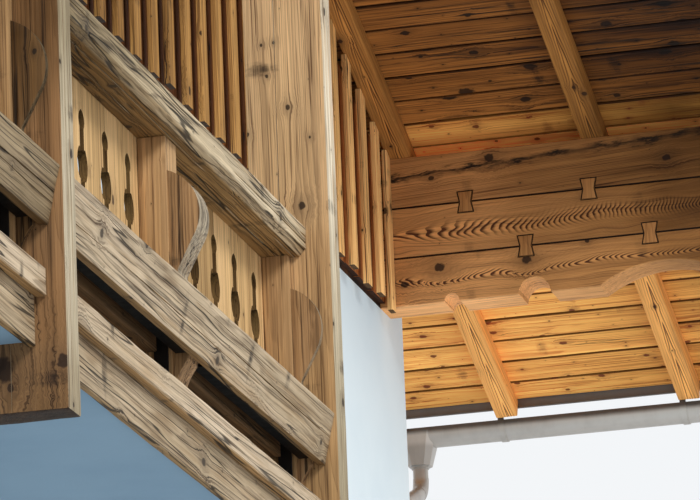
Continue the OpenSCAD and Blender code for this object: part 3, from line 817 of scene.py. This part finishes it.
def cut_depth(height):
    """How deep a balustrade board's side is sawn at a height over the middle of its openings."""
    up = abs(height)
    depth = 0.0012
    if up < LENS_HALF:
        depth = math.sqrt(LENS_R ** 2 - up ** 2) - LENS_INSET
    if up < DROP_UP:
        depth = max(depth, SLIT_HALF)
    if abs(up - DROP_UP) < DROP_R:
        depth = max(depth, math.sqrt(DROP_R ** 2 - (up - DROP_UP) ** 2))
    return depth


def make_balustrades():
    """Boards sawn along both sides, so that each joint opens into a lens, slits and drops."""
    first_w, board_w = 0.125, 0.26
    rows = [0.18 * i / 24 for i in range(-24, 25)]
    rows += [sign * height for sign in (-1, 1) for height in (LENS_HALF - 0.0001, LENS_HALF + 0.0001)]
    rows.sort()
    for seed, side in enumerate(("left", "right")):
        node = "railing_boards_" + side
        low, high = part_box(node)
        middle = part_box("handrail_" + side)[0].z - 0.260
        joints = [low.x] + [low.x + first_w + board_w * i for i in range(12)] + [high.x]
        rng = random.Random(81 + seed)
        bm = bmesh.new()
        for left, right in zip(joints, joints[1:]):
            part = bmesh.new()
            heights = [low.z] + [middle + row for row in rows] + [high.z + rng.uniform(-0.004, 0.0)]
            bmesh.ops.create_grid(part, x_segments=1, y_segments=len(heights) - 1, size=0.5)
            for vert in part.verts:
                row = round((vert.co.y + 0.5) * (len(heights) - 1))
                inset = cut_depth(heights[row] - middle)
                if vert.co.x < 0:
                    x = left + (inset if left > low.x else 0.001)
                else:
                    x = right - (inset if right < high.x else 0.001)
                vert.co = Vector((x, low.y, heights[row]))
            bmesh.ops.recalc_face_normals(part, faces=part.faces)
            bmesh.ops.solidify(part, geom=part.faces[:], thickness=high.y - low.y - 0.0015)
            front = min(v.co.y for v in part.verts)
            bmesh.ops.translate(part, vec=(0, low.y - front + rng.uniform(0, 0.0015), 0), verts=part.verts)
            bmesh.ops.recalc_face_normals(part, faces=part.faces)
            merge(bm, part)
        # Sawn sides of the openings darkened, partly as stained wood and partly as painted shade inside the
        # openings
        mark_grain(bm, Z, X, 91 + seed, dark=lambda normal, place: 0.0 if abs(normal.y) > 0.9 else 1.6)
        finish("sawn_boards_" + side, bm, HONEY, (node,))


THINNEST_STRIP = 0.004


def spans_beside(low, high, blocks):
    """The stretches from low to high that lie outside the blocks."""
    spans = [(low, high)]
    for start, end in blocks:
        cut_up = []
        for a, b in spans:
            cut_up += [(a, min(b, start)), (max(a, end), b)]
        spans = [(a, b) for a, b in cut_up if b - a > THINNEST_STRIP]
    return spans


# Painted shade and light along the gable: boards and battens are darker behind the balcony and brighter
# beside the beam, where the boards are lifted further
BATTEN_TONE = ((-1.0, -1.5), (1.2, -1.3), (2.5, -0.9), (5.5, -0.7), (7.0, 0.6), (9.2, 2.2))
BOARD_LIFT = ((7.5, 0.0), (8.3, 0.9))


def make_cladding():
    """Boards with a batten over each joint, cut to the roof and round the purlins, feet a little uneven."""
    pitch = 0.247
    board_t, batten_t = 0.024, 0.025
    batten_w, last_w = 0.085, 0.07
    # Beyond this line, beside the beam, boards and battens end higher
    high_feet = 8.0
    low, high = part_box("gable_cladding")
    purlins = [(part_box(node)[0].x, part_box(node)[1].x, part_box(node)[0].z)
               for node in ("mid_purlin_left", "ridge_purlin", "mid_purlin_right")]
    rng = random.Random(5)
    boards = bmesh.new()
    battens = bmesh.new()
    count = int((high.x - low.x) / pitch) + 1

    def roof_line(x):
        return under(x) - 0.002

    def add_strip(bm, start, end, back, foot, thick, **form):
        """A strip from its foot to the roof, or to the purlin that it would run into."""
        over = [bottom for left, right, bottom in purlins if end > left and start < right]
        top = over[0] - 0.002 if over else min(roof_line(start), roof_line(end))
        add_board(bm, Vector((end, back, foot)), Z, -X, (top - foot, end - start, thick),
                  cap=None if over else roof_line, **form)

    def batten_tone(place, centre):
        return between(BATTEN_TONE, centre.x)

    def board_tone(place, centre):
        return batten_tone(place, centre) + between(BOARD_LIFT, centre.x)

    for index in range(count):
        b = high.x - index * pitch
        a = max(low.x, b - pitch)
        foot = low.z + (0.012 if b < high_feet else 0.040) + rng.uniform(-0.006, 0.006)
        below = [(max(a, left), min(b, right)) for left, right, _ in purlins]
        spans = spans_beside(a, b, [purlin[:2] for purlin in purlins])
        for start, end in spans + [(left, right) for left, right in below if right - left > THINNEST_STRIP]:
            add_strip(boards, start + 0.001, end - 0.001, low.y + 0.026, foot, board_t, edge=0.001)
        middle = a + rng.uniform(-0.006, 0.006)
        if index < count - 1:
            foot = low.z + (-0.012 if b < high_feet else 0.010) + rng.uniform(-0.012, 0.012)
            add_strip(battens, middle - batten_w / 2, middle + batten_w / 2, FACE, foot, batten_t, edge=0.004,
                      cuts=8, wobble=0.004, rng=rng)
    end = high.x - 0.006
    add_strip(battens, end - last_w, end, FACE, low.z - 0.01, batten_t, edge=0.004)
    # Feet darkened strongly, as end grain and as painted shadow under the cladding
    mark_grain(boards, Z, X, 101, board_tone, dark=sawn_ends(Z, 1.8))
    mark_grain(battens, Z, X, 102, batten_tone, dark=sawn_ends(Z, 1.8))
    finish("cladding_boards", boards, CLAD, ("gable_cladding",))
    finish("cladding_battens", battens, BATTEN)


def dark_arrises(normal, place):
    """Darkens the beam's rounded joints and the cuts round its keys. Its underside, which catches the light,
    is paler."""
    if normal.z < -0.3 and place.z < EAVES_LOW.z - 0.30:
        return -0.8
    by_joint = abs(place.z - EAVES_LOW.z + 0.12) < 0.18
    return 1.9 if by_joint and 0.15 < abs(normal.x) < 0.97 else 0.0


# Painted light and shade on the beam by the distance from the wall: brighter near the wall, darker toward the
# verge
OUTWARD = (
    (-1.55, -1.4), (-1.3, -1.08), (-1.08, -0.28), (-0.85, 0.17), (-0.6, 0.45), (-0.45, 1.25), (0.0, 1.15))
# The height of each timber's heart at the wall, its rise and its depth, the timber's tone, and how much of
# # OUTWARD's painted shade it takes
EAVES_HEARTS = {
    "eaves_purlin_lower": (8.673, -0.0168, 0.004, 0.75, 1.0),
    "eaves_purlin_middle": (8.889, -0.0177, 0.012, 0.35, 1.2),
    "eaves_purlin_upper": (9.168, -0.050, 0.004, 0.3, 0.55)}


def make_purlins():
    """The eaves beam, each timber with its heart where its side shows it, and the single purlins."""
    for seed, (node, (height, rise, depth, tone, share)) in enumerate(EAVES_HEARTS.items()):
        along = (Y + Z * rise).normalized()

        def level(place, centre):
            shift = between(OUTWARD, place.y - FACE)
            return tone + shift * (share if shift < 0 else 1.0)

        dress(node, EAVES_BEAM[node], "beam_wood", along, X.cross(along), edge=0.0045, hewn=0.0012,
              step=0.06, seed=111 + seed, tone=level, pith=(0.0, depth), dark=dark_arrises,
              origin=Vector((EAVES_LOW.x, FACE, height)))
    dress("purlin_keys", BEAM, "beam_wood", Z, Y, edge=0.002, seed=121, tone=(0.5, 0.9), dark=dark_arrises)
    for seed, node in enumerate(("ridge_purlin", "mid_purlin_left", "mid_purlin_right")):
        dress(node, BEAM, "beam_wood", Y, Z, edge=0.005, hewn=0.002, step=0.15, side_step=0.05,
              seed=131 + seed)


def down_slope(sign):
    """The direction down the right slope of the roof for 1, the left one for -1."""
    return Vector((sign * math.cos(PITCH), 0, -math.sin(PITCH)))


def make_rafters():
    """Rafters, with painted shade over the room side and toward the verge and painted light where the eaves
    take the light, hearts at their undersides.
    """
    def level(place, centre):
        fading = between(((-1.3, -0.9), (-0.98, -0.4), (0.0, 0.0)), place.y - FACE)
        return fading - 0.3 if abs(place.x) < EAVES_LOW.x + 0.1 else fading + 1.7

    for seed, (side, sign) in enumerate((("left", -1), ("right", 1))):
        dress("rafters_" + side, RAFTER, "soffit_wood", down_slope(sign), Y, edge=0.005, hewn=0.002,
              step=0.12, seed=141 + seed, tone=level, pith=(-0.006, -sign * (RAFTER_H / 2 - 0.003)))
    dress("bargeboards", RAFTER, "soffit_wood", X, Z, seed=151)


# Painted shade on the soffit by the distance from the wall, darker toward the verge, for its shaded boards
# over the wall side and its lit ones at the eaves
SHADED_VERGE = (
    (-1.6, -1.6), (-1.3, -1.4), (-1.08, -1.15), (-0.85, -0.65), (-0.7, -0.15), (-0.4, 0.0), (0.0, 0.3))
LIT_VERGE = ((-1.3, -1.5), (-1.1, -1.0), (-0.9, -0.7), (-0.6, -0.4), (-0.35, 0.3))
SOFFIT_W = 0.1708


# Painted light across each soffit board: brighter at its eaves-side edge, darker at its ridge-side edge
def across_board(place, centre):
    return (abs(place.x) - abs(centre.x)) / SOFFIT_W


# Painted light on boards near the beam line, and painted shade toward the verge
def shaded_soffit_tone(place, centre):
    near = math.exp(-((abs(centre.x) - EAVES_LOW.x) / 0.32) ** 2)
    verge = between(SHADED_VERGE, place.y - FACE)
    return 0.25 + 1.7 * near + 1.15 * verge * (1.0 + 0.6 * near) + 0.7 * across_board(place, centre)


# Painted light over the beam, and painted shade inside the beam line and toward the verge
def lit_soffit_tone(place, centre):
    over_beam = math.exp(-((abs(centre.x) - EAVES_LOW.x - 0.10) / 0.13) ** 2)
    verge = between(LIT_VERGE, place.y - FACE)
    inside, share = (-1.6, 1.5) if abs(centre.x) < EAVES_LOW.x + 0.03 else (0.0, 1.0)
    return 1.2 + 2.4 * over_beam + verge * share + inside + 0.6 * across_board(place, centre)


def make_soffit():
    """Boards along the roof with open joints, butted at the rafters, browner over the wall side as painted
    shade and bright at the eaves as painted light.
    """
    gap = 0.009
    thick = 0.022
    first_joint = 0.150
    rng = random.Random(7)
    for sign, name, reach in ((1, "right", BOARDING_HIGH.x), (-1, "left", -BOARDING_LOW.x)):
        down = down_slope(sign)
        start = Vector((0, 0, under(0) + RAFTER_H / math.cos(PITCH)))
        joints = [reach] + [BOARDING_HIGH.x - first_joint - SOFFIT_W * k for k in range(80)]
        joints = [x for x in joints if 0.02 < x <= reach] + [0.0]
        # A board thickens along Y x across, which has to point up, so the right slope's are laid up the slope
        upward = Y.cross(down).z < 0
        across = -down if upward else down
        # The boards at the eaves go in a lit copy and those over the wall side in a darker one, as painted
        # light and shade
        lit_boards = bmesh.new()
        aged = bmesh.new()
        for high, low in zip(joints, joints[1:]):
            ends = sorted(rng.sample(RAFTERS[1:5], rng.choice((1, 1, 2))))
            for a, b in zip([BOARDING_LOW.y] + ends, ends + [BOARDING_HIGH.y]):
                at = (low + gap / 2 + rng.uniform(-0.002, 0.002)) / math.cos(PITCH)
                width = (high - low - gap) / math.cos(PITCH)
                corner = start + down * (at + (width if upward else 0)) + Vector((0, a + 0.0015, 0))
                add_board(lit_boards if sign > 0 and low > EAVES_LOW.x - 0.20 else aged, corner, Y, across,
                          (b - a - 0.003, width, thick), edge=0.004, cuts=8, wobble=0.003, rng=rng)

        # Sides at the open joints darkened as painted shade in the gaps; ends butted at the rafters darkened
        # as end grain
        def joint_sides(normal, place):
            return 1.5 if abs(normal.dot(down)) > 0.5 or abs(normal.y) > 0.8 else 0.0

        replaced = ("roof_boarding",) if sign > 0 else ()
        mark_grain(aged, Y, down, 162 + sign, shaded_soffit_tone, dark=joint_sides)
        finish("roof_boards_" + name, aged, SOFFIT_SHADED, replaced)
        if sign > 0:
            mark_grain(lit_boards, Y, down, 161, lit_soffit_tone, dark=joint_sides)
            finish("eaves_boarding", lit_boards, SOFFIT)
        felt = bmesh.new()
        length = reach / math.cos(PITCH)
        corner = start + down * (length if upward else 0) + Vector((0, BOARDING_LOW.y, 0))
        lift = Vector((sign * math.sin(PITCH), 0, math.cos(PITCH))) * (thick + 0.0005)
        add_board(felt, corner + lift, Y, across, (BOARDING_HIGH.y - BOARDING_LOW.y, length, 0.001), edge=0)
        finish("roofing_felt_" + name, felt, FELT)


def make_uprights():
    """Black flats with a bolt through each."""
    bm = copy_of("steel_uprights")
    soften(bm, 0.001)
    low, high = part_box("steel_uprights")
    turned = Matrix.Rotation(math.radians(90), 4, "Y")
    for x in sorted(min(v.co.x for v in part) for part in islands(bm)):
        place = Matrix.Translation((x - 0.003, (low.y + high.y) / 2, low.z + 0.10))
        bmesh.ops.create_cone(bm, cap_ends=True, segments=6, radius1=0.011, radius2=0.010, depth=0.008,
                              matrix=place @ turned)
    finish("upright_flats", bm, STEEL, ("steel_uprights",), smooth=False)


OWN_MESHES = (
    (WALL, ("front_wall_lower", "front_wall_left", "front_wall_right", "front_wall_over_door", "side_wall",
            "side_wall_head", "party_wall_left", "party_wall_back")),
    (SLAB, ("ground_floor", "interior_floor", "balcony_slab")), (GLASS, ("balcony_door_glass",)),
    (LINER, ("box_liners_left", "box_liners_right")), (DRIP, ("drip_strip",)), (ROOFING, ("roof_covering",)),
    (GUTTER, ("gutter", "gutter_brackets", "gutter_outlet", "downpipe", "pipe_clips")))


def finish_walls():
    """The pieces that keep their own meshes, the gable wall, painted dark at its foot as painted shadow under
    the cladding, and the door.
    """
    for material, nodes in OWN_MESHES:
        for node in nodes:
            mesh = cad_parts[node].data
            mesh.materials.clear()
            mesh.materials.append(material)
    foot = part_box("gable_wall")[0].z

    def shaded(place, centre):
        return between(((foot + 0.10, -1.6), (foot + 0.35, 0.2)), place.z)

    dress("gable_wall", CLAD, "beam_wood", Z, X, edge=0.001, seed=171, tone=shaded)
    dress("balcony_door", DOOR_WOOD, "door_wood", Z, X, edge=0.003, seed=172)


# Stage, light and camera

def make_stage():
    """A pale floor, wide enough for every view."""
    bm = bmesh.new()
    bmesh.ops.create_grid(bm, x_segments=1, y_segments=1, size=60)
    pale = new_material("pale_floor", Base_Color=(0.80, 0.81, 0.82, 1.0), Roughness=0.9)[0]
    floor = add_mesh("floor", bm, pale)


def add_light(name, kind, place, direction, **settings):
    """A light at a place that shines along a direction."""
    light = bpy.data.lights.new(name, kind)
    for key, value in settings.items():
        setattr(light, key, value)
    made = add_object(name, light)
    made.location = place
    made.rotation_euler = direction.to_track_quat("-Z", "Y").to_euler()
    return made


def light_scene():
    """A bright backdrop over a softer ambient light, a low sun from the left and a fill under the eaves."""
    world = bpy.data.worlds.new("studio")
    bpy.context.scene.world = world
    world.use_nodes = True
    tree = world.node_tree
    tree.nodes.clear()
    rays = put(tree, "LightPath").outputs
    camera, glossy, through = [Value(rays[kind]) for kind in (
        "Is Camera Ray", "Is Glossy Ray", "Is Transmission Ray")]
    ambient = put(tree, "Background", {"Color": (0.93, 0.96, 1.0, 1.0), "Strength": 0.62})
    backdrop = put(tree, "Background", {"Color": (0.90, 0.92, 0.94, 1.0), "Strength": 1.0})
    both = put(tree, "MixShader", {
        0: most(camera, most(glossy, through)), 1: Value(ambient.outputs[0]), 2: Value(backdrop.outputs[0])})
    put(tree, "OutputWorld", {0: Value(both.outputs[0])})
    add_light("key", "SUN", (0, 0, 0), Vector((0.62, 0.60, -0.52)), energy=1.7, angle=math.radians(18),
              color=(1.0, 0.97, 0.92))
    place = Vector((15.0, -7.0, 0.5))
    low = add_light("low_fill", "AREA", place, Vector((10.0, -0.8, 9.0)) - place, shape="RECTANGLE", size=14,
                    size_y=9, energy=620, color=(1.0, 0.98, 0.94))
    low.visible_camera = False
    low.visible_glossy = False


def aim_camera():
    camera = bpy.data.cameras.new("camera")
    camera.sensor_width = SENSOR
    camera.lens = FOCAL_PX * SENSOR / IMAGE_W
    camera.clip_end = 300
    ahead = Vector((math.cos(HEADING), math.sin(HEADING), 0))
    forward = ahead * math.cos(CLIMB) + Z * math.sin(CLIMB)
    level = Vector((math.sin(HEADING), -math.cos(HEADING), 0))
    down = forward.cross(level)
    right = level * math.cos(ROLL) + down * math.sin(ROLL)
    below = down * math.cos(ROLL) - level * math.sin(ROLL)
    place = Matrix((right, -below, -forward)).transposed().to_4x4()
    place.translation = Vector((-EYE_BESIDE_POST, FACE - EYE_BEFORE_FACE, EYE_HEIGHT))
    made = add_object("camera", camera)
    made.matrix_world = place
    bpy.context.scene.camera = made


make_posts()
make_rails()
make_edge_boards()
make_balustrades()
make_cladding()
make_purlins()
make_rafters()
make_soffit()
make_uprights()
finish_walls()
make_stage()
light_scene()
aim_camera()
bpy.context.scene.view_settings.view_transform = "Standard"
